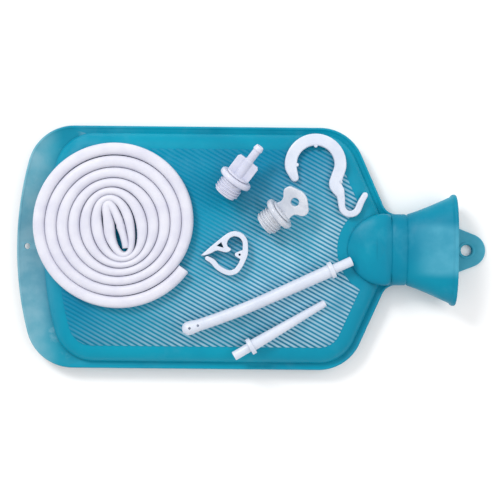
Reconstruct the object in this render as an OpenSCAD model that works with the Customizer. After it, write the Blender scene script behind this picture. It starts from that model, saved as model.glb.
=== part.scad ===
/* [Rubber bag] */
// Width of the bag across the seam flange
bag_w = 198.4; // [190:0.2:205]
// How far the left end of the base flange is from the middle
bag_left = 193; // [190:0.5:194]
// Height of the ribbed front panel above the table
bag_h = 26; // [24:0.5:30]
// Thickness of the rubber walls
wall = 2; // [1.5:0.1:2.5]
// Width of the seam flange
flange_w = 5.7; // [5:0.1:7]
// Pitch of the ribs on the front panel
rib_pitch = 3.13; // [3:0.01:4]
// Direction of the ribs, in degrees from the bag's length
rib_angle = -28.5; // [-40:0.5:-20]

/* [Neck and funnel] */
// Half the width of the neck
neck_half_w = 29.1; // [28:0.1:30]
// Half the height of the neck
neck_half_h = 17; // [16:0.5:18]
// Half the width of the funnel's mouth
mouth_half_w = 45.2; // [44:0.1:47]
// Half the height of the funnel's mouth
mouth_half_h = 22; // [20:0.5:23]
// Where the funnel's mouth is along the bag
mouth_x = 164; // [162:0.5:166]
// Diameter of the hole in the hanging tab
tab_hole_d = 9; // [7:0.5:10]
// Diameter of the hole in the base flange
base_hole_d = 4.9; // [4:0.1:6]

/* [Screw fittings] */
// Outer diameter of the screw threads on the stopper and connector
thread_d = 20.6; // [20:0.1:21]
// Pitch of the screw threads
thread_pitch = 2.4; // [2:0.1:3]
// Outer diameter of the washers
washer_d = 27.6; // [26:0.1:29]

/* [Hose] */
// Outer diameter of the hose
hose_d = 9.7; // [9:0.1:10.5]
// Radius of the coil that the hose lies in
coil_r = 66.4; // [62:0.1:68]

/* [Nozzles] */
// Outer diameter of the collars on the nozzles
collar_d = 13.8; // [13:0.1:15]
// Diameter of the water passage in the nozzles
lumen_d = 4.4; // [3:0.1:5]

/* [Hidden] */
$fn = 48;
rubber = [0.01, 0.62, 0.72];
white = [0.9, 0.91, 0.95];
milky = [0.84, 0.85, 0.88];

// Bag levels: the flange lies between seam_lo and seam_hi
seam_lo = 12;
seam_hi = 15;
bead_h = 1;
bead_w = 2.6;
panel_t = 0.8;
rib_h = 0.55;
front_top = bag_h - panel_t;
pillow_run = 14;
rest_gap = 0.05;
rest_z = bag_h + rest_gap;

// Outline of the bag
half_w = bag_w / 2;
base_r = 276;
base_c = base_r - bag_left;
base_corner_r = 38.5;
cushion_left = bag_left - 22.2;
cushion_corner_r = 33;
shoulder_angle = 24;
shoulder_r = 37;
shoulder_x = 54.5;
shoulder_line_x = 78.5;
cushion_right = 104;
fillet_r = 12;
fillet_x = 117.5;
fillet_y = neck_half_w + fillet_r;

// Neck and funnel stations
boss_tip = 76.8;
boss_x = 106.5;
boss_lip = 0.3;
crease_x = 125.5;
neck_wall = 3;
insert_x0 = 112;
insert_x1 = 126;
insert_r = 13.4;
neck_z = neck_half_h;
mouth_z = mouth_half_h;
tab_t = 3.5;
tab_r = 14;
tab_x = 179;
tab_base_half_w = 21;
tab_hole_x = 177;
base_hole_x = -184.6;

// Screw fittings, measured along their own axes from the thread's end
thread_r = thread_d / 2;
thread_len = 11.5;
thread_root = thread_r - 1.1;
washer_r = washer_d / 2;
washer_u = 13;
washer_t = 4.4;
neck_r = 8;
screw_tilt = atan((washer_r - thread_r) / washer_u);
screw_z = rest_z + thread_r * cos(screw_tilt);
handle_t = 4;
handle_hole_r = 3.3;
handle_hole_u = 31.5;
wing_end = 33.5;
wing_half_w = 9.8;
wing_t = 3.6;
barb_r = 3.2;
barb_end = 48;
barb_tip_r = 3.9;
bore_r = 2.1;

// Flat mouldings
hook_t = 5;
clamp_t = 9;
clamp_hinge = [-15.3, 11.5];

// Nozzles
collar_r = collar_d / 2;
lumen_r = lumen_d / 2;
nozzle_z = rest_z + collar_r;
collar_t = 3.6;
long_bend_r = 519;
long_bend = 6.4;
tip_r = 5.6;
tip_len = 8.4;
long_straight = 75.3;
long_r = 4.8;

hose_r = hose_d / 2;
coil_x = -112.7;
coil_y = 17.2;
// The last stretch of the hose leaves the outer turn and runs straight to its end
tail_from = [-66.1, -24.9];
tail_heading = 45;
tail_len = 20;

function arc(c, r, a0, a1, n) = [for (i = [0:n]) let(a = a0 + (a1 - a0) * i / n) c + r * [cos(a), sin(a)]];
function flip(pts) = [for (i = [len(pts) - 1:-1:0]) [pts[i].x, -pts[i].y]];

// The bag's outline, moved in by inset, with its left edge and left corners as given
function bag_outline(inset, left, corner_r, d) =
    let(e = inset + d,
        cy = half_w - inset - corner_r,
        reach = base_c + left - corner_r,
        cx = base_c - sqrt(reach * reach - cy * cy),
        tilt = asin(cy / reach),
        upper = concat(arc([fillet_x, fillet_y], fillet_r + e, -90, shoulder_angle - 180, 8),
                       arc([shoulder_x, half_w - shoulder_r], shoulder_r - e, shoulder_angle, 90, 10),
                       arc([cx, cy], corner_r - d, 90, 180 - tilt, 10),
                       arc([base_c, 0], base_c + left - d, 181 - tilt, 179.9, 5)))
    concat(upper, flip(upper));
function rubber_outline() = bag_outline(0, bag_left, base_corner_r, 0);
// Outline of the water cushion inside the seam flange, moved in by d
function cushion_outline(d) =
    let(e = flange_w + d,
        pts = bag_outline(flange_w, cushion_left, cushion_corner_r, d),
        x = cushion_right - d,
        y = half_w - (e + (x - shoulder_line_x) * cos(shoulder_angle)) / sin(shoulder_angle))
    concat([[x, y]], [for (i = [9:len(pts) - 10]) pts[i]], [[x, -y]]);

// A closed skin over rings that all have the same number of points and turn anticlockwise
// about the direction that they are stacked in
module skin(rings) {
    n = len(rings[0]);
    m = len(rings);
    polyhedron(points = [for (r = rings) each r],
               faces = concat([[for (i = [0:n - 1]) i]],
                              [for (k = [0:m - 2]) for (i = [0:n - 1]) let(j = (i + 1) % n)
                                  [k * n + i, (k + 1) * n + j, k * n + j]],
                              [for (k = [0:m - 2]) for (i = [0:n - 1]) let(j = (i + 1) % n)
                                  [k * n + i, (k + 1) * n + i, (k + 1) * n + j]],
                              [[for (i = [n - 1:-1:0]) (m - 1) * n + i]]));
}

// Rings up one rounded side of the water cushion, from its seam at angle 0 to its flat face at 90
function cushion_ring(z_seam, z_face, inset, t) =
    [for (p = cushion_outline(inset + (pillow_run - inset) * (1 - cos(t))))
        [p.x, p.y, z_seam + (z_face - z_seam) * sin(t)]];
function cushion_rings(z_seam, z_face, inset) =
    [for (t = [0:18:90]) cushion_ring(z_seam, z_face, inset, t)];
function reversed(list) = [for (i = [len(list) - 1:-1:0]) list[i]];

// Cross-section of the neck: a rounded oval, or an ellipse when square is 1
function pow_sign(v, e) = sign(v) * pow(abs(v), e);
function oval(x, w, h, z, square = 0.8) = [for (a = [0:9:351])
    [x, w * pow_sign(cos(a), square), z + h * pow_sign(sin(a), square)]];
function neck_outside() = [
    oval(cushion_right, neck_half_w, neck_half_h, neck_z),
    oval(crease_x, neck_half_w, neck_half_h, neck_z),
    oval(mouth_x - 3.5, mouth_half_w - 1.6, mouth_half_h - 0.8, mouth_z - 0.8),
    oval(mouth_x - 2.5, mouth_half_w, mouth_half_h, mouth_z),
    oval(mouth_x, mouth_half_w, mouth_half_h, mouth_z)];
function neck_inside() = [
    oval(cushion_right, neck_half_w - neck_wall, neck_half_h - neck_wall, neck_z),
    oval(insert_x0 - 2, neck_half_w - neck_wall, neck_half_h - neck_wall, neck_z),
    oval(insert_x0, insert_r, insert_r, neck_z, 1),
    oval(insert_x1, insert_r, insert_r, neck_z, 1),
    oval(insert_x1 + 0.5, insert_r - 1, insert_r - 1, neck_z, 1),
    oval(crease_x + 13, 23, 14, neck_z + 2, 1),
    oval(mouth_x, mouth_half_w - neck_wall, mouth_half_h - neck_wall, mouth_z)];

// The way for the water from the cushion into the neck
module water_way() {
    translate([cushion_right - 18, -20, 5]) cube([30, 40, 17]);
}

module bag_front_wall() {
    color(rubber) difference() {
        skin(concat(reversed(cushion_rings(seam_hi, front_top - wall, wall)),
                    cushion_rings(seam_hi, front_top, 0)));
        water_way();
    }
}
module bag_back_wall() {
    color(rubber) difference() {
        skin(concat(reversed(cushion_rings(seam_lo, 0, 0)), cushion_rings(seam_lo, wall, wall)));
        water_way();
    }
}

// Ribs run at an angle over the whole flat part of the front wall
module rib_panel() {
    ribs = 44;
    span = 330;
    profile = concat([[-ribs * rib_pitch, 0]],
                     [for (i = [-ribs:ribs - 1]) each [[i * rib_pitch, panel_t - rib_h],
                                                       [(i + 0.25) * rib_pitch, panel_t],
                                                       [(i + 0.7) * rib_pitch, panel_t],
                                                       [(i + 0.95) * rib_pitch, panel_t - rib_h]]],
                     [[ribs * rib_pitch, 0]]);
    color(rubber) translate([0, 0, front_top]) intersection() {
        rotate([90, 0, rib_angle + 90]) translate([0, 0, -span / 2]) linear_extrude(span) polygon(profile);
        linear_extrude(panel_t + 1) difference() {
            polygon(cushion_outline(pillow_run));
            translate([boss_x, 0]) circle(r = 40);
        }
    }
}

module flange_plate() {
    difference() {
        union() {
            translate([0, 0, seam_lo]) linear_extrude(seam_hi - seam_lo) polygon(rubber_outline());
            translate([0, 0, seam_lo - bead_h]) linear_extrude(seam_hi - seam_lo + 2 * bead_h) difference() {
                polygon(rubber_outline());
                polygon(bag_outline(0, bag_left, base_corner_r, bead_w));
            }
        }
        translate([0, 0, seam_lo - 2]) linear_extrude(7) polygon(cushion_outline(wall));
    }
}
flange_split = -150;
module seam_flange() {
    color(rubber) difference() {
        flange_plate();
        translate([-250 + flange_split, -150, 0]) cube([250, 300, 40]);
        translate([cushion_right - 3, -neck_half_w - 0.3, 0]) cube([60, 2 * neck_half_w + 0.6, 40]);
    }
}
module base_flange() {
    color(rubber) difference() {
        flange_plate();
        translate([flange_split, -150, 0]) cube([400, 300, 40]);
        translate([base_hole_x, 0, 0]) cylinder(d = base_hole_d, h = 40);
    }
}

// Neck and funnel as one closed tube: out along the outside and back along the inside
module neck_funnel() {
    n = 40;
    rings = concat(neck_outside(), reversed(neck_inside()));
    m = len(rings);
    color(rubber) polyhedron(
        points = [for (r = rings) each r],
        faces = [for (k = [0:m - 1]) for (i = [0:n - 1]) let(j = (i + 1) % n, l = (k + 1) % m)
                    each [[k * n + i, l * n + j, k * n + j], [k * n + i, l * n + i, l * n + j]]]);
}

// Thickened rubber over the root of the neck
module neck_boss() {
    rings = [for (t = [6, 18, 32, 46, 60, 75, 90]) let(s = sin(t), w = neck_half_w * s,
                 rise = boss_lip + (neck_z + neck_half_h - bag_h - boss_lip) * s * s)
        [for (a = [0:15:180]) [boss_x - (boss_x - boss_tip) * cos(t), w * pow_sign(cos(a), 0.7),
                               front_top + (bag_h - front_top + rise) * pow(sin(a), 0.5)]]];
    color(rubber) skin(rings);
}

module hanging_tab() {
    color(rubber) difference() {
        linear_extrude(tab_t) union() {
            translate([tab_x, 0]) circle(r = tab_r);
            polygon([[mouth_x, -tab_base_half_w], [tab_x + 5, -tab_r * 0.93], [tab_x + 5, tab_r * 0.93],
                     [mouth_x, tab_base_half_w]]);
        }
        translate([tab_hole_x, 0, -1]) cylinder(d = tab_hole_d, h = tab_t + 2);
    }
}

// Socket that the stopper and the connector screw into
module thread_insert() {
    color("ivory") translate([insert_x0, 0, neck_z]) rotate([0, 90, 0]) difference() {
        cylinder(r = insert_r, h = insert_x1 - insert_x0);
        translate([0, 0, -1]) cylinder(r = thread_root + 0.3, h = 20);
        for (i = [0:4])
            translate([0, 0, 1.6 + i * thread_pitch])
                rotate_extrude() polygon([[5, 0], [thread_r + 0.3, 0.5], [thread_r + 0.3, 1], [5, 1.5]]);
    }
}

// A screw thread with its ridges as rings, from its end at u = 0 up to the washer
module screw_body(inner_r) {
    rotate_extrude() polygon(concat(
        [[inner_r, 0], [thread_root, 0]],
        [for (i = [0:3]) each [[thread_root, 0.4 + i * thread_pitch], [thread_r, 1 + i * thread_pitch],
                               [thread_r, 1.6 + i * thread_pitch], [thread_root, 2.2 + i * thread_pitch]]],
        [[thread_root, thread_len], [neck_r, thread_len], [neck_r, washer_u + washer_t],
         [wing_half_w, washer_u + washer_t], [wing_half_w, washer_u + washer_t + 1.6],
         [inner_r, washer_u + washer_t + 1.6]]));
}
module washer() {
    r = 1.6;
    rotate_extrude() union() {
        translate([neck_r, washer_u]) square([washer_r - r - neck_r, washer_t]);
        translate([washer_r - r - 1, washer_u + r]) square([r + 1, washer_t - 2 * r]);
        for (v = [r, washer_t - r]) translate([washer_r - r, washer_u + v]) circle(r = r);
    }
}
// Lays a screw fitting on the panel, with its axis along heading
module lay_screw(x, y, heading) {
    translate([x, y, screw_z]) rotate([0, -screw_tilt, heading]) rotate([0, 90, 0]) children();
}
module lay_stopper() { lay_screw(9, 18.7, 37.1) children(); }
module lay_connector() { lay_screw(-23.1, 43.6, 52.5) children(); }

module stopper() {
    color(milky) lay_stopper() {
        screw_body(0);
        difference() {
            rotate([90, 0, 90]) translate([0, 0, -handle_t / 2]) linear_extrude(handle_t) union() {
                translate([-wing_half_w, washer_u + washer_t + 1]) square([2 * wing_half_w, 12]);
                translate([0, 28]) circle(r = 13.4);
                for (s = [-1, 1]) translate([s * 8.9, 32.6]) circle(r = 4.5);
            }
            translate([-10, 0, handle_hole_u]) rotate([0, 90, 0]) cylinder(r = handle_hole_r, h = 20);
            for (s = [-1, 1]) translate([-10, s * (wing_half_w + 8), 23]) rotate([0, 90, 0]) cylinder(r = 8.6, h = 20);
        }
    }
}
module stopper_washer() { color(milky) lay_stopper() washer(); }

module hose_connector() {
    barb_u = washer_u + washer_t + 1;
    color(white) lay_connector() difference() {
        union() {
            screw_body(bore_r);
            translate([-wing_t / 2, -wing_half_w, barb_u]) cube([wing_t, 2 * wing_half_w, wing_end - barb_u]);
            translate([0, 0, barb_u]) cylinder(r = barb_r + 0.9, h = wing_end - barb_u);
            translate([0, 0, barb_u]) cylinder(r = barb_r, h = barb_end - barb_u);
            translate([0, 0, barb_end - 4.5]) cylinder(r1 = barb_r, r2 = barb_tip_r, h = 1.2);
            translate([0, 0, barb_end - 3.3]) cylinder(r1 = barb_tip_r, r2 = barb_r, h = 3.3);
        }
        translate([0, 0, -1]) cylinder(r = bore_r, h = barb_end + 2);
    }
}
module connector_washer() { color(white) lay_connector() washer(); }

// Catmull-Rom curve through control points [x, y, half width]
function blend(a, b, c, d, t) = 0.5 * (2 * b + (c - a) * t + (2 * a - 5 * b + 4 * c - d) * t * t
                                       + (3 * b - a - 3 * c + d) * t * t * t);
function smooth(p, n) = let(m = len(p)) concat(
    [for (i = [0:m - 2]) for (k = [0:n - 1])
        blend(p[max(i - 1, 0)], p[i], p[i + 1], p[min(i + 2, m - 1)], k / n)], [p[m - 1]]);
function side(p, s) = [for (i = [0:len(p) - 1])
    let(d = p[min(i + 1, len(p) - 1)] - p[max(i - 1, 0)], l = norm([d.x, d.y]))
    [p[i].x, p[i].y] + s * p[i].z / l * [-d.y, d.x]];
// Half circle round the end e of a band that arrives from f
function round_end(e, f) = let(a = atan2(e.y - f.y, e.x - f.x))
    [for (t = [-60:30:60]) [e.x + e.z * cos(a + t), e.y + e.z * sin(a + t)]];
module ribbon(ctrl, n) {
    p = smooth(ctrl, n);
    m = len(p) - 1;
    polygon(concat(side(p, -1), round_end(p[m], p[m - 1]), reversed(side(p, 1)), round_end(p[0], p[1])));
}

hook_c = [50, 68.1];
hook_r = 20;
module hanging_hook() {
    bow = [for (a = [213:-27:-30]) [hook_c.x + hook_r * cos(a), hook_c.y + hook_r * sin(a), a > 200 ? 3.3 : 4.8]];
    leg = [[66, 52, 5], [69.6, 45.6, 4.6], [71.4, 40.2, 3.6]];
    bend = [for (a = [180:36:324]) [78.3 + 6.9 * cos(a), 35.3 + 6.9 * sin(a), 2.7]];
    color(white) translate([0, 0, rest_z]) linear_extrude(hook_t) {
        ribbon(concat(bow, leg), 3);
        ribbon(concat([[70.8, 41.4, 3.4]], bend, [[86.9, 38, 2.6], [90, 43.6, 2.4]]), 3);
        for (a = [90, 182]) translate(hook_c + 15.1 * [cos(a), sin(a)]) circle(r = 1.3);
    }
}

// Pinch clamp, seen flat: a bent band with a tooth on its frame and a tooth on its jaw
bow_c = [-14.4, 3.1];
bow_r = 8.4;
band = 2.1;
module clamp_frame() {
    crown = [for (a = [84:-21:0]) [bow_c.x + bow_r * cos(a), bow_c.y + bow_r * sin(a), band]];
    spine = [[-6.2, -4.6, 2.3], [-8.6, -11.2, band]];
    low = [for (a = [-20:-35:-130]) [-18.4 + 8.9 * cos(a), -11 + 8.9 * sin(a), band]];
    latch = [[-28.2, -15.2, band], [-32, -11, band], [-36.4, -8.4, 1.8]];
    color(white) translate([0, 0, rest_z]) linear_extrude(clamp_t) difference() {
        union() {
            ribbon(concat([[clamp_hinge.x + 0.3, clamp_hinge.y + 0.1, band]], crown, spine, low, latch), 5);
            polygon([[-6.4, -0.8], [-12.6, -3.2], [-12.6, -7.4], [-7.6, -10]]);
            translate([-12.3, -5.3]) circle(r = band);
        }
        translate(clamp_hinge) circle(r = band + 0.3);
        translate([-10.5, -5.3]) circle(r = 0.7);
    }
}
module clamp_jaw() {
    inner = [for (a = [180:-20:100]) bow_c + 6.3 * [cos(a), sin(a)]];
    color(white) translate([0, 0, rest_z]) linear_extrude(clamp_t) difference() {
        union() {
            translate(clamp_hinge) circle(r = band);
            polygon(concat([[-16, 13.4], [-20.4, 11.8], [-27.4, 6.4], [-41.1, -5.6], [-40.8, -6.2],
                            [-38.6, -6.2], [-32.6, -4], [-30.5, -2.6], [-28, -2], [-23.4, -3.3],
                            [-19.8, -3.2], [-17.9, -2], [-17.8, -0.2], [-20.2, 1.4]], inner));
        }
        polygon([[-25.3, 5], [-29.3, 1.7], [-23.1, 0]]);
    }
}

// Round profile of a nozzle's straight part: its spigot from u = 0, its collar, then its body
module nozzle_profile(spigot_r, spigot_len, body_r, end_r, length, bore) {
    c = 0.6;
    polygon([[bore, 0], [spigot_r, 0], [spigot_r, spigot_len], [collar_r - c, spigot_len],
             [collar_r, spigot_len + c], [collar_r, spigot_len + collar_t - c],
             [collar_r - c, spigot_len + collar_t], [body_r, spigot_len + collar_t],
             [end_r, length], [bore, length]]);
}
// Turns a profile along the bend of the long nozzle
module bend() {
    translate([0, long_bend_r, long_straight]) rotate([0, -90, 0]) rotate([0, 0, -90])
        rotate_extrude(angle = long_bend) translate([long_bend_r, 0]) children();
}
module at_bend_end() {
    translate([0, long_bend_r, long_straight]) rotate([-long_bend, 0, 0]) translate([0, -long_bend_r, 0])
        children();
}
module long_nozzle() {
    droop = atan((collar_r - tip_r) / 120);
    color(white) translate([79.7, -9.4, nozzle_z + 0.2]) rotate([0, droop, 24.66]) rotate([0, -90, 0]) {
        rotate_extrude() nozzle_profile(3.9, 16.1, long_r + 0.4, long_r, long_straight, lumen_r);
        bend() difference() {
            circle(r = long_r);
            circle(r = lumen_r);
        }
        at_bend_end() difference() {
            union() {
                cylinder(r1 = long_r, r2 = tip_r, h = tip_len);
                translate([0, 0, tip_len]) sphere(r = tip_r);
            }
            translate([0, 0, -1]) cylinder(r = lumen_r, h = tip_len + 1);
            for (u = [-3.6, 3.4]) translate([0, 0, u + 4]) rotate([0, 90, 0]) cylinder(r = 1, h = 9);
        }
    }
}
module short_nozzle() {
    length = 85.1;
    tip_end_r = 2.9;
    spigot_len = 14.1;
    droop = atan((collar_r - tip_end_r) / (length - spigot_len));
    color(white) translate([-14.3, -86.8, nozzle_z + 1.05]) rotate([0, droop, 30.66]) rotate([0, 90, 0])
        rotate_extrude() nozzle_profile(3.7, spigot_len, 4.7, tip_end_r, length, 1.7);
}

// The coil of the hose, as the solid that its turns fill
module hose_coil() {
    color(white) translate([coil_x, coil_y, rest_z]) rotate_extrude($fn = 96) union() {
        square([coil_r - hose_r, hose_d]);
        translate([coil_r - hose_r, hose_r]) circle(r = hose_r);
    }
}
module hose_tail() {
    color(white) translate([tail_from.x, tail_from.y, rest_z + hose_r]) rotate([0, 0, tail_heading])
        rotate([0, 90, 0]) cylinder(r = hose_r, h = tail_len);
}

bag_front_wall();
bag_back_wall();
rib_panel();
seam_flange();
base_flange();
neck_funnel();
neck_boss();
hanging_tab();
thread_insert();
stopper();
stopper_washer();
hose_connector();
connector_washer();
hanging_hook();
clamp_frame();
clamp_jaw();
long_nozzle();
short_nozzle();
hose_coil();
hose_tail();
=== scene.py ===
"""Rubber bottle with its hose and fittings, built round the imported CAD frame."""
import math

import bpy
import bmesh
from mathutils import Matrix, Vector


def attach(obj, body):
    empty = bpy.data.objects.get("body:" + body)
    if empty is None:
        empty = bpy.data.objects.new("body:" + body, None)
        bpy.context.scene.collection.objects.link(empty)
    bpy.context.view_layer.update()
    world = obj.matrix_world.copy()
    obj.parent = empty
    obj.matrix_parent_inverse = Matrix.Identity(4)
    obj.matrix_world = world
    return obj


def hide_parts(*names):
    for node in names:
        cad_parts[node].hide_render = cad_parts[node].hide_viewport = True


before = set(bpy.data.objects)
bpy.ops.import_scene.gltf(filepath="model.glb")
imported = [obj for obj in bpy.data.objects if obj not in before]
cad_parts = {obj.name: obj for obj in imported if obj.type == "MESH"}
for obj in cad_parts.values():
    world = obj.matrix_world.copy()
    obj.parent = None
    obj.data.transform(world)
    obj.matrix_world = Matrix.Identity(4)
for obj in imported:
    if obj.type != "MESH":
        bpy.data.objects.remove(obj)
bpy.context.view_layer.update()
MM = 0.001

# Sizes in millimetres and angles in degrees, as in part.scad
REST_Z = 26.05            # level that the loose pieces lie on
HALF_W = 99.2             # half the bag's width over its flange
FLANGE_W = 5.7
BAG_LEFT = 193.0
BASE_R = 276.0            # radius of the gently curved base edge
BASE_CORNER_R = 38.5
BASE_SPLIT_X = -130       # the flange left of here is base_flange
BASE_HOLE_X = -184.6
BASE_HOLE_R = 2.45
CUSHION_LEFT = 170.8
CUSHION_CORNER_R = 33.0
CUSHION_RIGHT = 104.0
SHOULDER_ANGLE = 24.0
SHOULDER_R = 37.0
SHOULDER_X = 54.5
SHOULDER_LINE_X = 78.5
FILLET_R = 12.0           # fillet between shoulder and neck
FILLET_X = 117.5
NECK_W = 29.1             # half width of the neck
PILLOW_RUN = 14.0         # how far a cushion's rounded edge reaches in
SEAM_LO = 12.0
SEAM_HI = 15.0
FRONT_TOP = 25.2
HOSE_D = 9.7
RIB_PITCH = 3.13
RIB_ANGLE = -28.5
RIB_SIDE = (-math.sin(math.radians(RIB_ANGLE)), math.cos(math.radians(RIB_ANGLE)), 0)
BOSS_X = 106.5
BOSS_REACH = 29.7
TAB_HOLE_X = 177
TAB_HOLE_R = 4.5
TAB_T = 3.5
ARC_STEPS = 3             # how finely the arcs of the bag's outlines are split


# ---------------------------------------------------------------- camera
def make_camera():
    """Straight above the bag, with a long lens."""
    data = bpy.data.cameras.new("camera")
    data.lens = 83.4
    data.sensor_width = 36
    cam = bpy.data.objects.new("camera", data)
    cam.location = (-0.0022, -0.0014, 0.963)
    cam.rotation_euler = (0, 0, 0.01)
    bpy.context.scene.collection.objects.link(cam)
    bpy.context.scene.camera = cam


make_camera()


# ---------------------------------------------------------------- mesh helpers
def link(obj):
    bpy.context.scene.collection.objects.link(obj)
    return obj


def shade_smooth(mesh):
    for poly in mesh.polygons:
        poly.use_smooth = True


def mesh_piece(name, verts, faces, place=None):
    """A mesh piece from points in millimetres, without double or loose points."""
    mesh = bpy.data.meshes.new(name)
    mesh.from_pydata([[c * MM for c in v] for v in verts], [], faces)
    work = bmesh.new()
    work.from_mesh(mesh)
    bmesh.ops.remove_doubles(work, verts=work.verts, dist=1e-6)
    loose = [v for v in work.verts if not v.link_faces]
    bmesh.ops.delete(work, geom=loose, context="VERTS")
    bmesh.ops.recalc_face_normals(work, faces=work.faces)
    work.to_mesh(mesh)
    work.free()
    if place is not None:
        mesh.transform(place)
    mesh.update()
    shade_smooth(mesh)
    return link(bpy.data.objects.new(name, mesh))


def sharpen(obj, angle=35.0):
    """Marks the edges that turn more than angle, in degrees, as sharp."""
    work = bmesh.new()
    work.from_mesh(obj.data)
    for edge in work.edges:
        if len(edge.link_faces) == 2:
            edge.smooth = edge.calc_face_angle(0) < math.radians(angle)
    work.to_mesh(obj.data)
    work.free()


def ring_faces(rings, per_ring, closed=True):
    """Quads between rings that are stacked in order."""
    faces = []
    last = per_ring if closed else per_ring - 1
    for k in range(rings - 1):
        for i in range(last):
            j = (i + 1) % per_ring
            a = k * per_ring
            b = a + per_ring
            faces.append((a + i, a + j, b + j, b + i))
    return faces


def lathe(profile, steps):
    """Points and faces of a profile of (radius, height) turned about Z."""
    smallest_r = 0.0005
    verts = []
    for r, z in profile:
        r = max(r, smallest_r)
        for i in range(steps):
            a = 2 * math.pi * i / steps
            verts.append((r * math.cos(a), r * math.sin(a), z))
    return verts, ring_faces(len(profile), steps)


def join(parts):
    """One set of points and faces from several."""
    verts = []
    faces = []
    for v, f in parts:
        base = len(verts)
        verts += v
        faces += [tuple(base + i for i in face) for face in f]
    return verts, faces


def moved(part, matrix):
    """A set of points and faces with its points put through a matrix."""
    return [tuple(matrix @ Vector(v)) for v in part[0]], part[1]


def plate(name, outlines, thickness, bevel, place=None):
    """A flat moulding with rounded edges, from closed outlines; the inner ones are holes."""
    curve = bpy.data.curves.new(name, "CURVE")
    curve.dimensions = "2D"
    curve.fill_mode = "BOTH"
    curve.extrude = (thickness / 2 - bevel) * MM
    curve.bevel_depth = bevel * MM
    curve.bevel_resolution = 3
    curve.offset = -bevel * MM
    for points in outlines:
        spline = curve.splines.new("POLY")
        spline.points.add(len(points) - 1)
        for i, p in enumerate(points):
            spline.points[i].co = (p[0] * MM, p[1] * MM, 0, 1)
        spline.use_cyclic_u = True
    temp = link(bpy.data.objects.new(name + "_curve", curve))
    bpy.context.view_layer.update()
    graph = bpy.context.evaluated_depsgraph_get()
    mesh = bpy.data.meshes.new_from_object(temp.evaluated_get(graph))
    bpy.data.objects.remove(temp)
    bpy.data.curves.remove(curve)
    mesh.name = name
    work = bmesh.new()
    work.from_mesh(mesh)
    bmesh.ops.remove_doubles(work, verts=work.verts, dist=2e-6)
    bmesh.ops.recalc_face_normals(work, faces=work.faces)
    work.to_mesh(mesh)
    work.free()
    if place is not None:
        mesh.transform(place)
    shade_smooth(mesh)
    obj = link(bpy.data.objects.new(name, mesh))
    sharpen(obj, 40)
    return obj


def face_up(obj):
    """Turns an open sheet over if it faces down."""
    if sum(p.normal.z for p in obj.data.polygons) < 0:
        obj.data.flip_normals()


def shift(x, y, z):
    """A move in millimetres."""
    return Matrix.Translation((x * MM, y * MM, z * MM))


def arc(cx, cy, r, a0, a1, n):
    """Points of an arc from angle a0 to a1, in n steps."""
    out = []
    for i in range(n + 1):
        a = math.radians(a0 + (a1 - a0) * i / n)
        out.append((cx + r * math.cos(a), cy + r * math.sin(a)))
    return out


def smooth_path(points, n):
    """Catmull-Rom curve through points with any number of coordinates, n steps to each."""
    out = []
    last = len(points) - 1
    for i in range(last):
        a = points[max(i - 1, 0)]
        b = points[i]
        c = points[i + 1]
        d = points[min(i + 2, last)]
        for k in range(n):
            t = k / n
            out.append(tuple(
                0.5 * (2 * q + (r - p) * t + (2 * p - 5 * q + 4 * r - s) * t * t
                       + (3 * q - p - 3 * r + s) * t * t * t)
                for p, q, r, s in zip(a, b, c, d)))
    out.append(tuple(points[last]))
    return out


def cut_holes(obj, cutters):
    """Cuts the cutters out of a piece and removes them."""
    for cutter in cutters:
        tool = obj.modifiers.new("cut", "BOOLEAN")
        tool.operation = "DIFFERENCE"
        tool.solver = "EXACT"
        tool.object = cutter
    bpy.context.view_layer.update()
    graph = bpy.context.evaluated_depsgraph_get()
    mesh = bpy.data.meshes.new_from_object(obj.evaluated_get(graph))
    obj.modifiers.clear()
    obj.data = mesh
    for cutter in cutters:
        bpy.data.objects.remove(cutter)
    shade_smooth(mesh)
    sharpen(obj, 40)


# ---------------------------------------------------------------- hose
COIL_INNER = Vector((-109.5, 15.0))   # middle of the innermost turn
COIL_OUTER = Vector((-110.1, 19.7))   # where the middle has moved to after DRIFT_TURNS
DRIFT_TURNS = 6.0
START_TURN = -0.485
END_TURN = 6.6
TOP_ANGLE = 110.0                     # direction of the coil's long side


def coil_radius(turn):
    """Distance of the hose from the middle of its coil: a long loop that grows rounder."""
    short = 3.9 + 9.4 * turn if turn > 0 else 3.9 + 1.5 * turn
    long = 21.0 + 3.0 * turn + 0.58 * turn * turn
    phase = 2 * math.pi * turn
    shape = 2.3 - 0.15 * min(max(turn, 0.0), 2.0)
    along = abs(math.cos(phase)) / long
    across = abs(math.sin(phase)) / short
    return (along ** shape + across ** shape) ** (-1 / shape)


def coil_point(turn):
    share = min(max(turn / DRIFT_TURNS, 0.0), 1.05)
    centre = COIL_INNER.lerp(COIL_OUTER, share)
    angle = math.radians(TOP_ANGLE) + 2 * math.pi * turn
    return centre + coil_radius(turn) * Vector((math.cos(angle), math.sin(angle)))


def power(v, e):
    """A power that keeps the sign, to square off a round section."""
    return math.copysign(abs(v) ** e, v)


def hose_halves(path, turns, radius):
    """Half the width of the hose along its path: turns that lie close squeeze it."""
    own_stretch = 0.22
    least_half = 2.2
    reach = 8
    near = []
    for i, p in enumerate(path):
        best = 4 * radius
        for j in range(0, len(path), 3):
            if abs(turns[j] - turns[i]) > own_stretch:
                best = min(best, (path[j] - p).length)
        near.append(min(max(best * 0.5, least_half), radius))
    out = []
    for i in range(len(near)):
        window = near[max(i - reach, 0):i + reach + 1]
        out.append(sum(window) / len(window))
    return out


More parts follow.
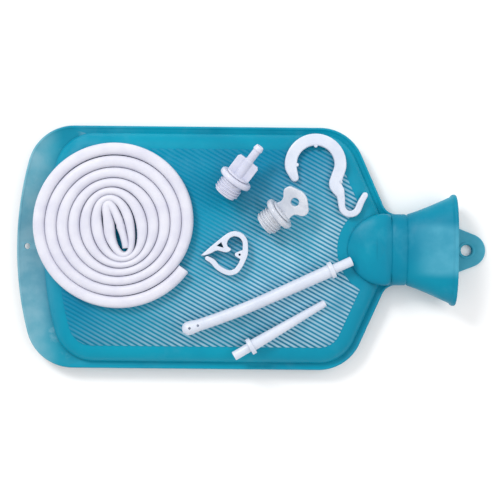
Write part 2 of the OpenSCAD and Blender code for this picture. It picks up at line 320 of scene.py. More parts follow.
def hose_piece():
    """The wound hose with an open bore at both ends, and its centreline in metres."""
    steps = 900
    around = 24
    square = 0.8
    turns = [START_TURN + (END_TURN - START_TURN) * i / steps for i in range(steps + 1)]
    path = [coil_point(t) for t in turns]
    radius = HOSE_D / 2
    centre_z = REST_Z + radius
    halves = hose_halves(path, turns, radius)

    def section(i, scale, back=0.0):
        """A ring of the hose at step i, scaled and moved back along it."""
        p = path[i]
        q = path[min(i + 1, steps)] - path[max(i - 1, 0)]
        q.normalize()
        normal = Vector((q.y, -q.x))
        ring = []
        for k in range(around):
            a = 2 * math.pi * k / around
            side = halves[i] * scale * power(math.cos(a), square)
            lift = radius * scale * power(math.sin(a), square)
            base = p - q * back
            ring.append((base.x + normal.x * side, base.y + normal.y * side, centre_z + lift))
        return ring

    # Each end from the floor of its bore to its rounded rim, as (depth, scale)
    end = ((9.0, 0.0), (9.0, 0.6), (0.4, 0.62), (0.0, 0.7), (0.0, 0.93), (0.25, 0.985))
    rings = [section(0, scale, -depth) for depth, scale in end]
    rings += [section(i, 1.0) for i in range(1, steps)]
    rings += [section(steps, scale, depth) for depth, scale in reversed(end)]
    verts = [v for ring in rings for v in ring]
    obj = mesh_piece("hose_line", verts, ring_faces(len(rings), around))
    line = [(p.x * MM, p.y * MM, centre_z * MM) for p in path[::3]]
    return obj, line


hose, hose_line = hose_piece()
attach(hose, "hose")
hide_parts("hose_coil", "hose_tail")


# ---------------------------------------------------------------- outlines of the bag
def bag_outline(inset, left, corner_r, d):
    """Outline of the bag from the neck round its base and back, open at the neck.

    inset is how far it lies inside the bag's sides, left is its reach at the base, and d
    moves the whole of it further in.
    """
    e = inset + d
    base_c = BASE_R - BAG_LEFT
    cy = HALF_W - inset - corner_r
    reach = base_c + left - corner_r
    cx = base_c - math.sqrt(reach * reach - cy * cy)
    tilt = math.degrees(math.asin(cy / reach))
    f = ARC_STEPS
    upper = arc(FILLET_X, NECK_W + FILLET_R, FILLET_R + e, -90, SHOULDER_ANGLE - 180, 8 * f)
    upper += arc(SHOULDER_X, HALF_W - SHOULDER_R, SHOULDER_R - e, SHOULDER_ANGLE, 90, 10 * f)
    upper += arc(cx, cy, corner_r - d, 90, 180 - tilt, 10 * f)
    upper += arc(base_c, 0, base_c + left - d, 181 - tilt, 179.9, 5 * f)
    return upper + [(x, -y) for x, y in reversed(upper)]


def cushion_outline(d):
    """Outline of the water cushion, d inside its seam and cut off square at the neck."""
    e = FLANGE_W + d
    points = bag_outline(FLANGE_W, CUSHION_LEFT, CUSHION_CORNER_R, d)
    x = CUSHION_RIGHT - d
    lean = math.radians(SHOULDER_ANGLE)
    y = HALF_W - (e + (x - SHOULDER_LINE_X) * math.cos(lean)) / math.sin(lean)
    skip = 8 * ARC_STEPS + 1
    return [(x, y)] + points[skip:len(points) - skip] + [(x, -y)]


# ---------------------------------------------------------------- rubber bag
def cushion(name, z_seam, z_face):
    """A rounded water cushion from its seam up to its flat face."""
    verts = []
    rows = 0
    for degrees in range(0, 91, 5):
        a = math.radians(degrees)
        outline = cushion_outline(PILLOW_RUN * (1 - math.cos(a)))
        z = z_seam + (z_face - z_seam) * math.sin(a)
        verts += [(x, y, z) for x, y in outline]
        rows += 1
    n = len(outline)
    faces = ring_faces(rows, n)
    faces.append(tuple((rows - 1) * n + i for i in range(n)))
    obj = mesh_piece(name, verts, faces)
    sharpen(obj, 30)
    return obj


def flange(name, keep_left):
    """The seam flange with its rounded bead, right or left of BASE_SPLIT_X.

    The base's band is a closed solid, so that its hanging hole can be drilled.
    """
    # Upper half of the bead as (distance in from the edge, rise over the flange's face)
    bead = ((2.9, 0), (2.3, 0.55), (1.7, 0.95), (0.9, 0.95), (0.25, 0.4), (0, -0.6))
    inner = bag_outline(FLANGE_W, CUSHION_LEFT, CUSHION_CORNER_R, 3.0)
    rings = [(inner, SEAM_HI)]
    rings += [(bag_outline(0, BAG_LEFT, BASE_CORNER_R, d), SEAM_HI + up) for d, up in bead]
    rings += [(bag_outline(0, BAG_LEFT, BASE_CORNER_R, d), SEAM_LO - up) for d, up in reversed(bead)]
    rings += [(inner, SEAM_LO)]
    verts = [(x, y, z) for outline, z in rings for x, y in outline]
    n = len(inner)
    rows = len(rings)
    faces = []
    kept = []
    for i in range(n - 1):
        middle = (inner[i][0] + inner[i + 1][0]) / 2
        if (middle < BASE_SPLIT_X) == keep_left:
            kept.append(i)
            for k in range(rows):
                a = k * n + i
                b = (k + 1) % rows * n + i
                faces.append((a, a + 1, b + 1, b))
    if keep_left:
        for i in (kept[0], kept[-1] + 1):
            faces.append(tuple(k * n + i for k in range(rows)))
    obj = mesh_piece(name, verts, faces)
    if keep_left:
        drill = lathe([(0, 8), (BASE_HOLE_R, 8), (BASE_HOLE_R, 18), (0, 18)], 32)
        cut_holes(obj, [mesh_piece("drill", *drill, place=shift(BASE_HOLE_X, 0, 0))])
    sharpen(obj, 50)
    return obj


def rib_sheet():
    """Ribs run at an angle over the flat part of the front wall, each with a rounded crest."""
    per = 8              # lines to each rib
    clear_r = 38         # the ribs stop this far from the middle of the boss
    shortest = 1.5
    lean = math.radians(RIB_ANGLE)
    along = Vector((math.cos(lean), math.sin(lean)))
    side = Vector((-along.y, along.x))
    outline = [Vector(p) for p in cushion_outline(PILLOW_RUN - 0.6)]
    boss = Vector((BOSS_X, 0))
    verts = []
    faces = []
    previous = None
    count = int(330 / RIB_PITCH * per)
    for k in range(-count // 2, count // 2):
        s = k * RIB_PITCH / per
        hits = []
        for i in range(len(outline)):
            a = outline[i]
            b = outline[(i + 1) % len(outline)]
            sa = a.dot(side) - s
            sb = b.dot(side) - s
            if (sa < 0) != (sb < 0):
                hits.append((a + (b - a) * sa / (sa - sb)).dot(along))
        if len(hits) < 2:
            previous = None
            continue
        t0 = min(hits)
        t1 = max(hits)
        off = boss.dot(side) - s
        if abs(off) < clear_r:
            t1 = min(t1, boss.dot(along) - math.sqrt(clear_r * clear_r - off * off))
        if t1 - t0 < shortest:
            previous = None
            continue
        crest = 0.5 + 0.5 * math.cos(2 * math.pi * k / per)
        z = FRONT_TOP + 0.2 + 0.6 * crest ** 0.8
        base = len(verts)
        rows = ((t0, FRONT_TOP - 0.3), (t0 + 0.5, z), (t1 - 0.5, z), (t1, FRONT_TOP - 0.3))
        for t, height in rows:
            p = along * t + side * s
            verts.append((p.x, p.y, height))
        if previous is not None:
            for i in range(3):
                faces.append((previous + i, previous + i + 1, base + i + 1, base + i))
        previous = base
    obj = mesh_piece("rib_sheet", verts, faces)
    face_up(obj)
    return obj


def neck_piece():
    """Neck and funnel as one rubber tube with a rolled lip, creases and an open mouth."""
    around = 96
    # Rings as (x, half width, half height, height of the middle)
    outside = [(100, 29.1, 17, 17), (111.2, 29.1, 17, 17), (112.1, 28.4, 16.2, 17)]
    outside += [(113, 29.1, 17, 17), (123.4, 29.1, 17, 17), (124.8, 28.2, 16.0, 17)]
    outside += [(126.4, 29.3, 17.1, 17.1), (133, 31.6, 17.9, 17.9), (142, 35.2, 19, 19)]
    outside += [(151, 39.2, 20.1, 20.1), (158.6, 42.7, 21, 21), (160.2, 43.5, 21.2, 21.2)]
    outside += [(160.8, 44.7, 21.6, 21.8), (161.8, 45.2, 22, 22), (163.2, 45.2, 22, 22)]
    outside += [(163.9, 44.6, 21.4, 22), (164, 43.6, 20.4, 22)]
    inside = [(163.7, 42.4, 19.2, 22), (162.6, 41.9, 18.7, 22), (150, 34, 16.8, 20.4)]
    inside += [(138.5, 23, 14, 19), (130, 15, 12.9, 17.5), (126.6, 12.6, 12.4, 17)]
    inside += [(125.9, 12.4, 12.4, 17)]
    verts = []
    for row, (x, w, h, z) in enumerate(outside + inside):
        square = 0.8 if row < len(outside) + 2 else 0.95
        for i in range(around):
            a = 2 * math.pi * i / around
            verts.append((x, w * power(math.cos(a), square), z + h * power(math.sin(a), square)))
    obj = mesh_piece("neck_tube", verts, ring_faces(len(outside) + len(inside), around))
    sharpen(obj, 55)
    return obj


def boss_piece():
    """Thickened rubber over the root of the neck, sinking into it at its end."""
    across = 36
    sink_rows = 5
    verts = []
    rows = 0
    for degrees in list(range(4, 90, 4)) + [90]:
        s = math.sin(math.radians(degrees))
        x = BOSS_X - BOSS_REACH * math.cos(math.radians(degrees))
        rise = 0.3 + 7.7 * s * s
        for k in range(across + 1):
            a = math.pi * k / across
            y = NECK_W * s * power(math.cos(a), 0.7)
            verts.append((x, y, FRONT_TOP - 0.2 + (1.0 + rise) * math.sin(a) ** 0.5))
        rows += 1
    for i in range(1, sink_rows + 1):
        for x, y, z in verts[-across - 1:]:
            verts.append((x + 0.9, y * (1 - 0.004 * i), z - 0.09 * i))
        rows += 1
    obj = mesh_piece("neck_boss_skin", verts, ring_faces(rows, across + 1, closed=False))
    face_up(obj)
    return obj


def tab_piece():
    """Hanging tab with a raised rim round its hole."""
    side = [(160, 22.3), (164, 20.8)]
    nose = arc(179, 0, 13.8, 68, -68, 32)
    outline = side + nose + [(x, -y) for x, y in reversed(side)]
    hole = arc(TAB_HOLE_X, 0, TAB_HOLE_R, 0, 350, 35)
    obj = plate("tab_plate", [outline, hole], TAB_T, 1.0, shift(0, 0, TAB_T / 2))
    rim = []
    for i in range(13):
        a = math.pi * i / 12
        rim.append((6.0 + 1.2 * math.cos(a), 3.2 + 0.9 * math.sin(a)))
    verts, faces = lathe(rim, 48)
    ring = mesh_piece("tab_rim", verts, faces, place=shift(TAB_HOLE_X, 0, 0))
    return obj, ring


front = cushion("front_cushion", SEAM_HI, FRONT_TOP)
back = cushion("back_cushion", SEAM_LO, 0.0)
ribs = rib_sheet()
seam = flange("seam_band", False)
base_band = flange("base_band", True)
neck = neck_piece()
boss_skin = boss_piece()
tab, tab_rim = tab_piece()


# ---------------------------------------------------------------- screw fittings
# Heights (u) count from the free end of the thread along the fitting's axis
THREAD_R = 10.3
THREAD_ROOT = 8.9
THREAD_PITCH = 2.4
WASHER_R = 13.8
WASHER_U = 13.0
WASHER_T = 4.4
BORE_R = 2.1              # bore through the connector
TILT = math.atan((WASHER_R - THREAD_R) / WASHER_U)
SCREW_Z = REST_Z + THREAD_R * math.cos(TILT)


def screw_place(x, y, heading):
    """Where a fitting lies: it rests on its thread's end and its washer, so it tilts."""
    turn = Matrix.Rotation(math.radians(heading), 4, "Z") @ Matrix.Rotation(-TILT, 4, "Y")
    return shift(x, y, SCREW_Z) @ turn @ Matrix.Rotation(math.radians(90), 4, "Y")


def thread(r0, r1, u0, pitch, turns):
    """A helical ridge on a stem, tapering out at both ends."""
    per_turn = 48
    fade_steps = 14
    steps = int(turns * per_turn)
    verts = []
    section = ((0.7, r0 - 0.1), (0.25, r1), (-0.25, r1), (-0.7, r0 - 0.1))
    for i in range(steps + 1):
        a = 2 * math.pi * i / per_turn
        u = u0 + pitch * i / per_turn
        fade = min(1.0, i / fade_steps, (steps - i) / fade_steps)
        for du, r in section:
            radius = r0 - 0.1 + (r - r0 + 0.1) * fade
            verts.append((radius * math.cos(a), radius * math.sin(a), u + du))
    faces = ring_faces(steps + 1, 4)
    faces += [(0, 1, 2, 3), tuple(steps * 4 + k for k in (3, 2, 1, 0))]
    return verts, faces


def round_profile(points, r):
    """Rounds every corner of a profile of (radius, height), by up to r."""
    out = [points[0]]
    for i in range(1, len(points) - 1):
        a, b, c = (Vector(points[k]) for k in (i - 1, i, i + 1))
        before = a - b
        after = c - b
        cut = min(r, before.length * 0.45, after.length * 0.45)
        p = b + before.normalized() * cut
        q = b + after.normalized() * cut
        for k in range(4):
            t = k / 3
            m = p.lerp(b, t).lerp(b.lerp(q, t), t)
            out.append((m.x, m.y))
    out.append(points[-1])
    return out


def screw(name, place, bore):
    """A threaded stem with the flange that its washer sits against."""
    stem = [(bore, 0.9), (bore + 0.3, 0), (THREAD_ROOT, 0), (THREAD_ROOT, 11.5), (8, 12.1)]
    stem += [(8, 17.6), (9.8, 17.6), (9.8, 19.0), (bore + 0.3, 19.0)]
    ridge = thread(THREAD_ROOT, THREAD_R, 1.5, THREAD_PITCH, 3.6)
    verts, faces = join([lathe(round_profile(stem, 0.5), 72), ridge])
    obj = mesh_piece(name, verts, faces, place=place)
    sharpen(obj, 40)
    return obj


def washer(name, place):
    top = WASHER_U + WASHER_T
    ring = [(8, WASHER_U), (WASHER_R, WASHER_U), (WASHER_R, top), (8, top), (8, WASHER_U)]
    verts, faces = lathe(round_profile(ring, 1.6), 96)
    obj = mesh_piece(name, verts, faces, place=place)
    sharpen(obj, 50)
    return obj


# Stands a plate's outline (x, y) up along the fitting's axis
FLAT = Matrix(((0, 0, 1, 0), (1, 0, 0, 0), (0, 1, 0, 0), (0, 0, 0, 1)))


def stopper_handle(place):
    """Fan-shaped grip with waisted sides, two lobes and a hole."""
    right = [(8.2, 18.2), (7.9, 20), (7.4, 22.5), (7.9, 25), (9.6, 27.2), (11.6, 28.6)]
    right += [(13.1, 30.5), (13.4, 32.6), (12.9, 34.8), (11.4, 36.5), (9.2, 37.8), (6.2, 39.5)]
    right += [(3.2, 40.9), (0, 41.4)]
    right = smooth_path(right, 4)
    outline = right + [(-x, y) for x, y in reversed(right[:-1])]
    hole = arc(0, 31.5, 3.3, 0, 350, 35)
    return plate("stopper_grip", [outline, hole], 4.0, 0.9, place @ FLAT)


def connector_top(place):
    """Two wings in one flat plate, and the barbed tube that the hose is pushed on."""
    wings = [(9.8, 18.4), (9.8, 31.6), (8.4, 33.5), (-8.4, 33.5), (-9.8, 31.6), (-9.8, 18.4)]
    plates = plate("connector_wings", [wings], 3.6, 0.7, place @ FLAT)
    barb = [(BORE_R, 30), (BORE_R, 47.6), (2.4, 48), (3.0, 48), (3.3, 47.5), (3.9, 44.9), (3.9, 44.3)]
    barb += [(3.2, 43.6), (3.2, 34.4), (4.1, 33.2), (4.1, 18.5), (4.1, 18.2)]
    verts, faces = lathe(round_profile(barb, 0.3), 56)
    tube = mesh_piece("connector_barb", verts, faces, place=place)
    sharpen(tube, 45)
    return plates, tube


stopper_at = screw_place(9, 18.7, 37.1)
connector_at = screw_place(-23.1, 43.6, 52.5)
stopper_screw = screw("stopper_screw", stopper_at, 0.0)
stopper_ring = washer("stopper_ring", stopper_at)
stopper_grip = stopper_handle(stopper_at)
connector_screw = screw("connector_screw", connector_at, BORE_R)
connector_ring = washer("connector_ring", connector_at)
connector_wings, connector_barb = connector_top(connector_at)


# ---------------------------------------------------------------- flat mouldings
HOOK_C = (50.0, 68.1)     # middle of the hook's large bow
HOOK_T = 5.0
CURL_C = (78.3, 35.3)     # middle of its small bend
CLAMP_T = 9.0
BOW_C = (-14.4, 3.1)      # middle of the clamp's bow
HINGE = (-15.3, 11.5)     # axis of clamp_arm_flex
BAND = 2.1                # half width of the clamp's band


def on_circle(centre, r, degrees):
    a = math.radians(degrees)
    return (centre[0] + r * math.cos(a), centre[1] + r * math.sin(a))


def ribbon(control, n):
    """Outline of a band from control points [x, y, half width] with round ends."""
    line = smooth_path(control, n)
    last = len(line) - 1
    left = []
    right = []
    for i, (x, y, h) in enumerate(line):
        a = line[max(i - 1, 0)]
        b = line[min(i + 1, last)]
        d = Vector((b[0] - a[0], b[1] - a[1])).normalized()
        left.append((x - d.y * h, y + d.x * h))
        right.append((x + d.y * h, y - d.x * h))

    def end(e, f):
        """The round end at e, where f is the point before it."""
        a = math.degrees(math.atan2(e[1] - f[1], e[0] - f[0]))
        return arc(e[0], e[1], e[2], a - 72, a + 72, 8)

    return right + end(line[last], line[last - 1]) + left[::-1] + end(line[0], line[1])


def hook_piece():
    """S-shaped hook: a large bow with two nubs inside it, a leg and a small curl."""
    up = shift(0, 0, REST_Z + HOOK_T / 2)
    bow = []
    for degrees in range(213, -31, -27):
        bow.append(on_circle(HOOK_C, 20, degrees) + (3.3 if degrees > 200 else 4.8,))
    leg = [(66, 52, 5), (69.2, 46.2, 4.4), (70.8, 42.2, 2.6)]
    upper = plate("hook_bow", [ribbon(bow + leg, 8)], HOOK_T, 1.3, up)
    bend = [on_circle(CURL_C, 6.9, degrees) + (2.7,) for degrees in range(180, 325, 36)]
    tail = [(69.7, 45.6, 3.5), (70.9, 40.8, 3.1)] + bend + [(86.9, 38, 2.6), (90, 43.6, 2.4)]
    lower = plate("hook_curl", [ribbon(tail, 8)], HOOK_T - 0.04, 1.3, up)
    nubs = []
    for i, degrees in enumerate((90, 182)):
        spot = arc(*on_circle(HOOK_C, 15.1, degrees), 1.5, 0, 345, 23)
        nubs.append(plate("hook_nub_%d" % i, [spot], HOOK_T - 0.4, 0.6, up))
    return [upper, lower] + nubs


def clamp_pieces():
    """Pinch clamp: a bent band with a tooth inside it, and the arm that hinges at its crown."""
    crown = [on_circle(BOW_C, 8.4, a) + (BAND,) for a in range(84, -1, -21)]
    low = [on_circle((-18.4, -11), 8.9, a) + (BAND,) for a in range(-20, -131, -35)]
    line = [(HINGE[0] + 0.3, HINGE[1] + 0.1, BAND)] + crown
    line += [(-6.2, -4.6, 2.3), (-8.6, -11.2, BAND)] + low
    line += [(-28.2, -15.2, BAND), (-32, -11, BAND), (-36.4, -8.4, 1.8)]
    up = shift(0, 0, REST_Z + CLAMP_T / 2)
    frame_band = plate("clamp_band", [ribbon(line, 8)], CLAMP_T, 0.8, up)
    tooth = [(-6.4, -0.8), (-9.5, -2.0), (-12.3, -3.1), (-14.1, -4.2), (-14.4, -5.3)]
    tooth += [(-13.9, -6.5), (-12.3, -7.5), (-10, -8.8), (-7.6, -10)]
    dimple = arc(-10.5, -5.3, 0.9, 0, 330, 11)
    frame_tooth = plate("clamp_tooth", [tooth, dimple], 8.6, 0.7, up)
    inner = [on_circle(BOW_C, 6.3, a) for a in range(180, 99, -10)]
    outer = [(-15.6, 13.5), (-17.4, 13.2), (-20.4, 11.8), (-24, 9.2), (-27.4, 6.4), (-34, 0.8)]
    outer += [(-41.1, -5.6), (-41.2, -6.1), (-40.8, -6.4), (-38.6, -6.2), (-35.6, -5.2)]
    outer += [(-32.6, -4), (-30.5, -2.6), (-28, -2), (-23.4, -3.3), (-21.4, -3.5), (-19.8, -3.2)]
    outer += [(-17.9, -2), (-17.4, -1.1), (-17.8, -0.2), (-20.2, 1.4)]
    window = [(-25.3, 4.6), (-28.9, 1.7), (-23.4, 0.2)]
    jaw = plate("clamp_jaw_body", [outer + inner, window], CLAMP_T, 0.7, up)
    pin = plate("clamp_hinge_pin", [arc(*HINGE, BAND, 0, 345, 23)], 8.8, 0.6, up)
    return frame_band, frame_tooth, jaw, pin


hook_parts = hook_piece()
clamp_band, clamp_tooth, clamp_jaw_body, clamp_pin = clamp_pieces()


# ---------------------------------------------------------------- nozzles
# Heights count from the inlet end along the nozzle's axis
COLLAR_R = 6.9
COLLAR_T = 3.6
NOZZLE_Z = REST_Z + COLLAR_R
LONG_STRAIGHT = 75.3      # where the long nozzle starts to bend
BEND_R = 519.0
BEND = math.radians(6.4)
TIP_R = 5.6
SHORT_LENGTH = 85.1


def bent(u, x, y):
    """Where a point of the long nozzle goes when its end part is bent towards +y."""
    over = u - LONG_STRAIGHT
    if over <= 0:
        return (x, y, u)
    a = min(over / BEND_R, BEND)
    rest = max(over - BEND_R * BEND, 0)
    along = (BEND_R - y) * math.sin(a) + rest * math.cos(a)
    aside = BEND_R - (BEND_R - y) * math.cos(a) + rest * math.sin(a)
    return (x, aside, LONG_STRAIGHT + along)


def collar(spigot_r, spigot_len, body_r):
    """Profile of the collar between a nozzle's spigot and its body."""
    end = spigot_len + COLLAR_T
    return [(spigot_r, spigot_len), (COLLAR_R, spigot_len), (COLLAR_R, end), (body_r, end)]


def long_nozzle_piece():
    """The long nozzle, slightly bent, with a round tip and two holes in its side."""
    shaft = BEND_R * BEND
    end = LONG_STRAIGHT + shaft
    profile = [(0, 8), (2.2, 8), (2.2, 0.4), (2.6, 0), (3.6, 0), (3.9, 0.5)]
    profile += collar(3.9, 16.1, 5.3) + [(5.2, 24)]
    profile += [(5.2 - 0.4 * k / 8, 24 + (LONG_STRAIGHT - 24) * k / 8) for k in range(1, 9)]
    profile += [(4.8, LONG_STRAIGHT + shaft * k / 12) for k in range(1, 13)]
    profile += [(5.15, end + 3), (5.5, end + 6.4)]
    for degrees in range(0, 91, 10):
        a = math.radians(degrees)
        profile.append((TIP_R * math.cos(a), end + 8.4 + TIP_R * math.sin(a)))
    verts, faces = lathe(round_profile(profile, 0.5), 56)
    verts = [bent(z, x, y) for x, y, z in verts]
    droop = math.atan((COLLAR_R - TIP_R) / 120)
    place = shift(79.7, -9.4, NOZZLE_Z + 0.2)
    place = place @ Matrix.Rotation(math.radians(24.66), 4, "Z") @ Matrix.Rotation(droop, 4, "Y")
    place = place @ Matrix.Rotation(math.radians(-90), 4, "Y")
    obj = mesh_piece("long_nozzle_tube", verts, faces, place=place)
    cutters = []
    for u in (0.6, 7.6):
        hole = lathe([(0, 2.6), (1.05, 2.6), (1.05, 9), (0, 9)], 20)
        turned = moved(hole, Matrix.Rotation(math.radians(90), 4, "Y"))
        at = [bent(end + u + z, x, y) for x, y, z in turned[0]]
        cutters.append(mesh_piece("hole", at, turned[1], place=place))
    cut_holes(obj, cutters)
    return obj


def short_nozzle_piece():
    """The short tapered nozzle, with a bore at both ends."""
    length = SHORT_LENGTH
    profile = [(0, length - 12), (1.7, length - 12), (1.7, length - 0.5), (2.0, length)]
    profile += [(2.5, length), (2.9, length - 0.5)]
    profile += [(2.9 + 1.8 * k / 8, length - 0.5 - (length - 19.3) * k / 8) for k in range(1, 8)]
    profile += collar(3.7, 14.1, 4.7)[::-1]
    profile += [(3.7, 0.5), (3.4, 0), (2.1, 0), (1.7, 0.4), (1.7, 9), (0, 9)]
    verts, faces = lathe(round_profile(profile, 0.5), 56)
    droop = math.atan((COLLAR_R - 2.9) / (length - 14.1))
    place = shift(-14.3, -86.8, NOZZLE_Z + 1.05)
    place = place @ Matrix.Rotation(math.radians(30.66), 4, "Z") @ Matrix.Rotation(droop, 4, "Y")
    place = place @ Matrix.Rotation(math.radians(90), 4, "Y")
    obj = mesh_piece("short_nozzle_tube", verts, faces, place=place)
    sharpen(obj, 40)
    return obj


long_nozzle = long_nozzle_piece()
short_nozzle = short_nozzle_piece()


# ---------------------------------------------------------------- materials
def linear(rgb):
    """Blender's linear colour of an sRGB tone in steps of 0 to 255."""
    out = []
    for c in rgb:
        v = c / 255
        out.append(v / 12.92 if v <= 0.04045 else ((v + 0.055) / 1.055) ** 2.4)
    return tuple(out) + (1.0,)


class Nodes:
    """A material's nodes, with short calls to add and connect them."""

    def __init__(self, name):
        self.material = bpy.data.materials.new(name)
        self.material.use_nodes = True
        self.tree = self.material.node_tree
        self.shader = self.tree.nodes["Principled BSDF"]
        self.place = self.tree.nodes.new("ShaderNodeTexCoord").outputs["Object"]

    def wire(self, source, target):
        self.tree.links.new(source, target)

    def noise(self, scale, detail=3.0, rough=0.5):
        node = self.tree.nodes.new("ShaderNodeTexNoise")
        node.inputs["Scale"].default_value = scale
        node.inputs["Detail"].default_value = detail
        node.inputs["Roughness"].default_value = rough
        self.wire(self.place, node.inputs["Vector"])
        return node.outputs["Fac"]

    def ramp(self, value, low, high, out_low=0.0, out_high=1.0):
        node = self.tree.nodes.new("ShaderNodeMapRange")
        node.interpolation_type = "SMOOTHSTEP"
        ends = {"From Min": low, "From Max": high, "To Min": out_low, "To Max": out_high}
        for key, number in ends.items():
            node.inputs[key].default_value = number
        self.wire(value, node.inputs["Value"])
        return node.outputs["Result"]

    def math(self, kind, a, b):
        node = self.tree.nodes.new("ShaderNodeMath")
        node.operation = kind
        for i, item in enumerate((a, b)):
            if isinstance(item, (int, float)):
                node.inputs[i].default_value = item
            else:
                self.wire(item, node.inputs[i])
        return node.outputs[0]

    def axis(self, name):
        node = self.tree.nodes.new("ShaderNodeSeparateXYZ")
        self.wire(self.place, node.inputs[0])
        return node.outputs[name]

    def mix(self, factor, a, b):
        node = self.tree.nodes.new("ShaderNodeMix")
        node.data_type = "RGBA"
        self.wire(factor, node.inputs["Factor"])
        for key, item in ((6, a), (7, b)):
            if isinstance(item, tuple):
                node.inputs[key].default_value = item
            else:
                self.wire(item, node.inputs[key])
        return node.outputs[2]

    def bump(self, height, distance, strength=0.5, below=None):
        node = self.tree.nodes.new("ShaderNodeBump")
        node.inputs["Distance"].default_value = distance
        node.inputs["Strength"].default_value = strength
        self.wire(height, node.inputs["Height"])
        if below is not None:
            self.wire(below, node.inputs["Normal"])
        return node.outputs["Normal"]

    def finish(self, color, rough, normal):
        self.wire(color, self.shader.inputs["Base Color"])
        self.wire(rough, self.shader.inputs["Roughness"])
        self.wire(normal, self.shader.inputs["Normal"])
        return self.material


def rib_crest_talc_and_highlight(n):
    """Talc and a painted highlight on the ribs' crests, strongest at the lower right of the panel."""
    across = n.tree.nodes.new("ShaderNodeVectorMath")
    across.operation = "DOT_PRODUCT"
    across.inputs[1].default_value = RIB_SIDE
    n.wire(n.place, across.inputs[0])
    phase = n.math("MULTIPLY", across.outputs["Value"], 2 * math.pi / (RIB_PITCH * MM))
    # the crest mask paints the crests lighter: painted highlight and talc
    crest = n.ramp(n.math("COSINE", phase, 0), -0.9, 0.7)
    slant = n.math("SUBTRACT", n.math("MULTIPLY", n.axis("X"), 0.8), n.axis("Y"))
    zone = n.ramp(slant, -0.065, 0.04, 0.03, 0.95)
    mottle = n.ramp(n.noise(30, 4), 0.3, 0.65, 0.55, 1.0)
    return n.math("MULTIPLY", crest, n.math("MULTIPLY", zone, mottle))


def rubber(name, tone, shade, bloom_and_highlight_tone, bloom_level, bloom_and_highlight_bands=(), ribbed=False, width=0.0):
    """Moulded rubber: mottled tone, talc dust in patches, fine grain.

    bands are zones of more colour towards the light tone, as (axis, start, end, amount): talc at the
    base, and on the neck a painted highlight; width keeps them to the middle of the bag. ribbed adds
    talc and a painted highlight on the rib crests.
    """
    gloss = 0.42
    n = Nodes(name)
    color = n.mix(n.ramp(n.noise(14, 4), 0.35, 0.7), linear(tone), linear(shade))
    bloom_and_highlight_mask = n.ramp(n.noise(38, 5, 0.62), 0.5, 0.75, 0.0, bloom_level)
    for key, low, high, amount in bloom_and_highlight_bands:
        zone = n.ramp(n.axis(key), low, high, 0.0, amount)
        if width:
            aside = n.math("ABSOLUTE", n.axis("Y"), 0)
            zone = n.math("MULTIPLY", zone, n.ramp(aside, width, width * 1.5, 1.0, 0.0))
        mottle = n.ramp(n.noise(60, 4), 0.3, 0.7, 0.55, 1.0)
        bloom_and_highlight_mask = n.math("MAXIMUM", bloom_and_highlight_mask, n.math("MULTIPLY", zone, mottle))
    if ribbed:
        bloom_and_highlight_mask = n.math("MAXIMUM", bloom_and_highlight_mask, rib_crest_talc_and_highlight(n))
    # mixes towards the light tone where the mask is high: talc patches and painted highlights
    color = n.mix(bloom_and_highlight_mask, color, linear(bloom_and_highlight_tone))
    rough = n.ramp(n.math("ADD", n.noise(90), bloom_and_highlight_mask), 0.3, 1.2, gloss - 0.06, gloss + 0.25)
    fine = n.bump(n.noise(2600, 2), 0.00012, 0.35)
    wide = n.bump(n.noise(55, 2), 0.0012, 0.35, fine)
    n.shader.inputs["Specular IOR Level"].default_value = 0.14
    return n.finish(color, rough, wide)


def plastic(name, tone, shade, gloss, glow):
    """White moulded plastic: faint tone change, slight marks, soft light inside."""
    n = Nodes(name)
    color = n.mix(n.ramp(n.noise(70, 4), 0.35, 0.72), linear(tone), linear(shade))
    rough = n.ramp(n.noise(220, 4), 0.3, 0.7, gloss - 0.07, gloss + 0.1)
    fine = n.bump(n.noise(1800, 3), 0.00006, 0.3)
    wide = n.bump(n.noise(180, 2), 0.0004, 0.3, fine)
    n.shader.inputs["Subsurface Weight"].default_value = glow
    n.shader.inputs["Subsurface Radius"].default_value = (1.0, 0.9, 0.85)
    n.shader.inputs["Subsurface Scale"].default_value = 0.002
    n.shader.inputs["Specular IOR Level"].default_value = 0.5
    return n.finish(color, rough, wide)


# Tones, and the zones in metres
TEAL = (0, 146, 173)
TEAL_DEEP = (0, 131, 160)
BLOOM = (120, 178, 198)
wall_rubber = rubber("rubber_wall", TEAL, TEAL_DEEP, BLOOM, 0.08, (("X", -0.15, -0.185, 0.35),))
# the light tone (172, 208, 226) on the rib crests is talc and painted highlight
rib_rubber = rubber("rubber_ribs", (0, 138, 170), (0, 122, 158), (172, 208, 226), 0.06,
                    ribbed=True)
band_rubber = rubber("rubber_band", TEAL, TEAL_DEEP, BLOOM, 0.1)
base_rubber = rubber("rubber_base", (22, 144, 168), (6, 126, 154), (156, 192, 204), 0.5,
                     (("X", -0.155, -0.182, 0.6),))
# on the neck the band from X 0.124 m, kept to the middle by width, is a painted highlight on the
# funnel's top; the random patches are talc
neck_rubber = rubber("rubber_neck", (0, 144, 170), (0, 124, 154), (86, 166, 190), 0.2,
                     (("X", 0.124, 0.15, 0.75),), width=0.016)
insert_plastic = plastic("insert_plastic", (196, 190, 174), (180, 174, 160), 0.4, 0.1)
white_plastic = plastic("white_plastic", (210, 216, 229), (201, 208, 223), 0.34, 0.2)
connector_plastic = plastic("connector_plastic", (208, 210, 226), (194, 197, 216), 0.34, 0.2)
milky_plastic = plastic("milky_plastic", (206, 210, 219), (186, 192, 204), 0.3, 0.4)
hose_rubber = plastic("hose_rubber", (216, 216, 227), (207, 207, 221), 0.5, 0.15)


def wear(objects, body, slot, material, *replaced):
    """Puts pieces on a body, with their material, in place of CAD nodes; slot is not used."""
    for obj in objects:
        obj.data.materials.clear()
        obj.data.materials.append(material)
        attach(obj, body)
        if replaced:
            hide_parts(*replaced)


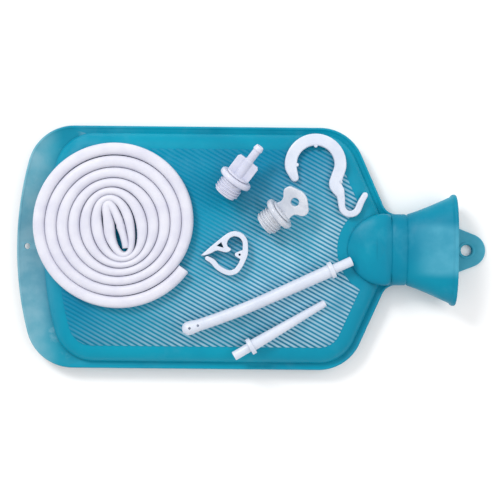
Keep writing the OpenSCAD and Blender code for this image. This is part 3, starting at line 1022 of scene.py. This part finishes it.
hose.data.materials.append(hose_rubber)
wear([front], "bag", "rubber", wall_rubber, "bag_front_wall")
wear([back], "bag", "rubber", wall_rubber, "bag_back_wall")
wear([ribs], "bag", "rubber", rib_rubber, "rib_panel")
wear([seam], "bag", "rubber", band_rubber, "seam_flange")
wear([base_band], "bag", "rubber", base_rubber, "base_flange")
wear([neck], "bag", "rubber", neck_rubber, "neck_funnel")
wear([boss_skin], "bag", "rubber", neck_rubber, "neck_boss")
wear([tab, tab_rim], "bag", "rubber", neck_rubber, "hanging_tab")
wear([stopper_screw, stopper_grip], "stopper", "milky_plastic", milky_plastic, "stopper")
wear([stopper_ring], "stopper", "milky_plastic", milky_plastic, "stopper_washer")
wear([connector_screw, connector_wings, connector_barb], "connector", "white_plastic",
     connector_plastic, "hose_connector")
wear([connector_ring], "connector", "white_plastic", connector_plastic, "connector_washer")
wear(hook_parts, "hook", "white_plastic", white_plastic, "hanging_hook")
wear([clamp_band, clamp_tooth, clamp_pin], "clamp", "white_plastic", white_plastic, "clamp_frame")
wear([clamp_jaw_body], "clamp_arm", "white_plastic", white_plastic, "clamp_jaw")
wear([long_nozzle], "long_nozzle", "white_plastic", white_plastic, "long_nozzle")
wear([short_nozzle], "short_nozzle", "white_plastic", white_plastic, "short_nozzle")
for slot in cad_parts["thread_insert"].material_slots:
    slot.material = insert_plastic


# ---------------------------------------------------------------- floor and light
def make_stage():
    """A white floor just under the bag, in metres."""
    size = 3.0
    level = -0.0002
    corners = ((-size, -size), (size, -size), (size, size), (-size, size))
    mesh = bpy.data.meshes.new("floor")
    mesh.from_pydata([(x, y, level) for x, y in corners], [], [(0, 1, 2, 3)])
    floor = link(bpy.data.objects.new("floor", mesh))
    n = Nodes("floor_paper")
    color = n.mix(n.ramp(n.noise(6, 2), 0.3, 0.7), linear((252, 252, 252)), linear((249, 249, 250)))
    rough = n.ramp(n.noise(40, 2), 0.3, 0.7, 0.7, 0.8)
    mesh.materials.append(n.finish(color, rough, n.bump(n.noise(900, 2), 0.0001, 0.2)))


def area_light(name, spot, size, watts):
    """A square lamp at spot that faces the origin."""
    data = bpy.data.lights.new(name, "AREA")
    data.size = size
    data.energy = watts
    lamp = link(bpy.data.objects.new(name, data))
    lamp.location = spot
    lamp.rotation_euler = (-Vector(spot)).to_track_quat("-Z", "Y").to_euler()


def make_light():
    """White light from all round, a soft key from the upper left and a wide fill."""
    world = bpy.data.worlds.new("studio")
    bpy.context.scene.world = world
    world.use_nodes = True
    sky = world.node_tree.nodes["Background"]
    sky.inputs["Color"].default_value = (1, 1, 1, 1)
    sky.inputs["Strength"].default_value = 0.82
    area_light("key", (-0.8, 0.9, 1.3), 0.5, 13)
    area_light("fill", (0.9, 0.2, 1.3), 1.2, 5)
    bpy.context.scene.view_settings.view_transform = "Standard"


make_stage()
make_light()
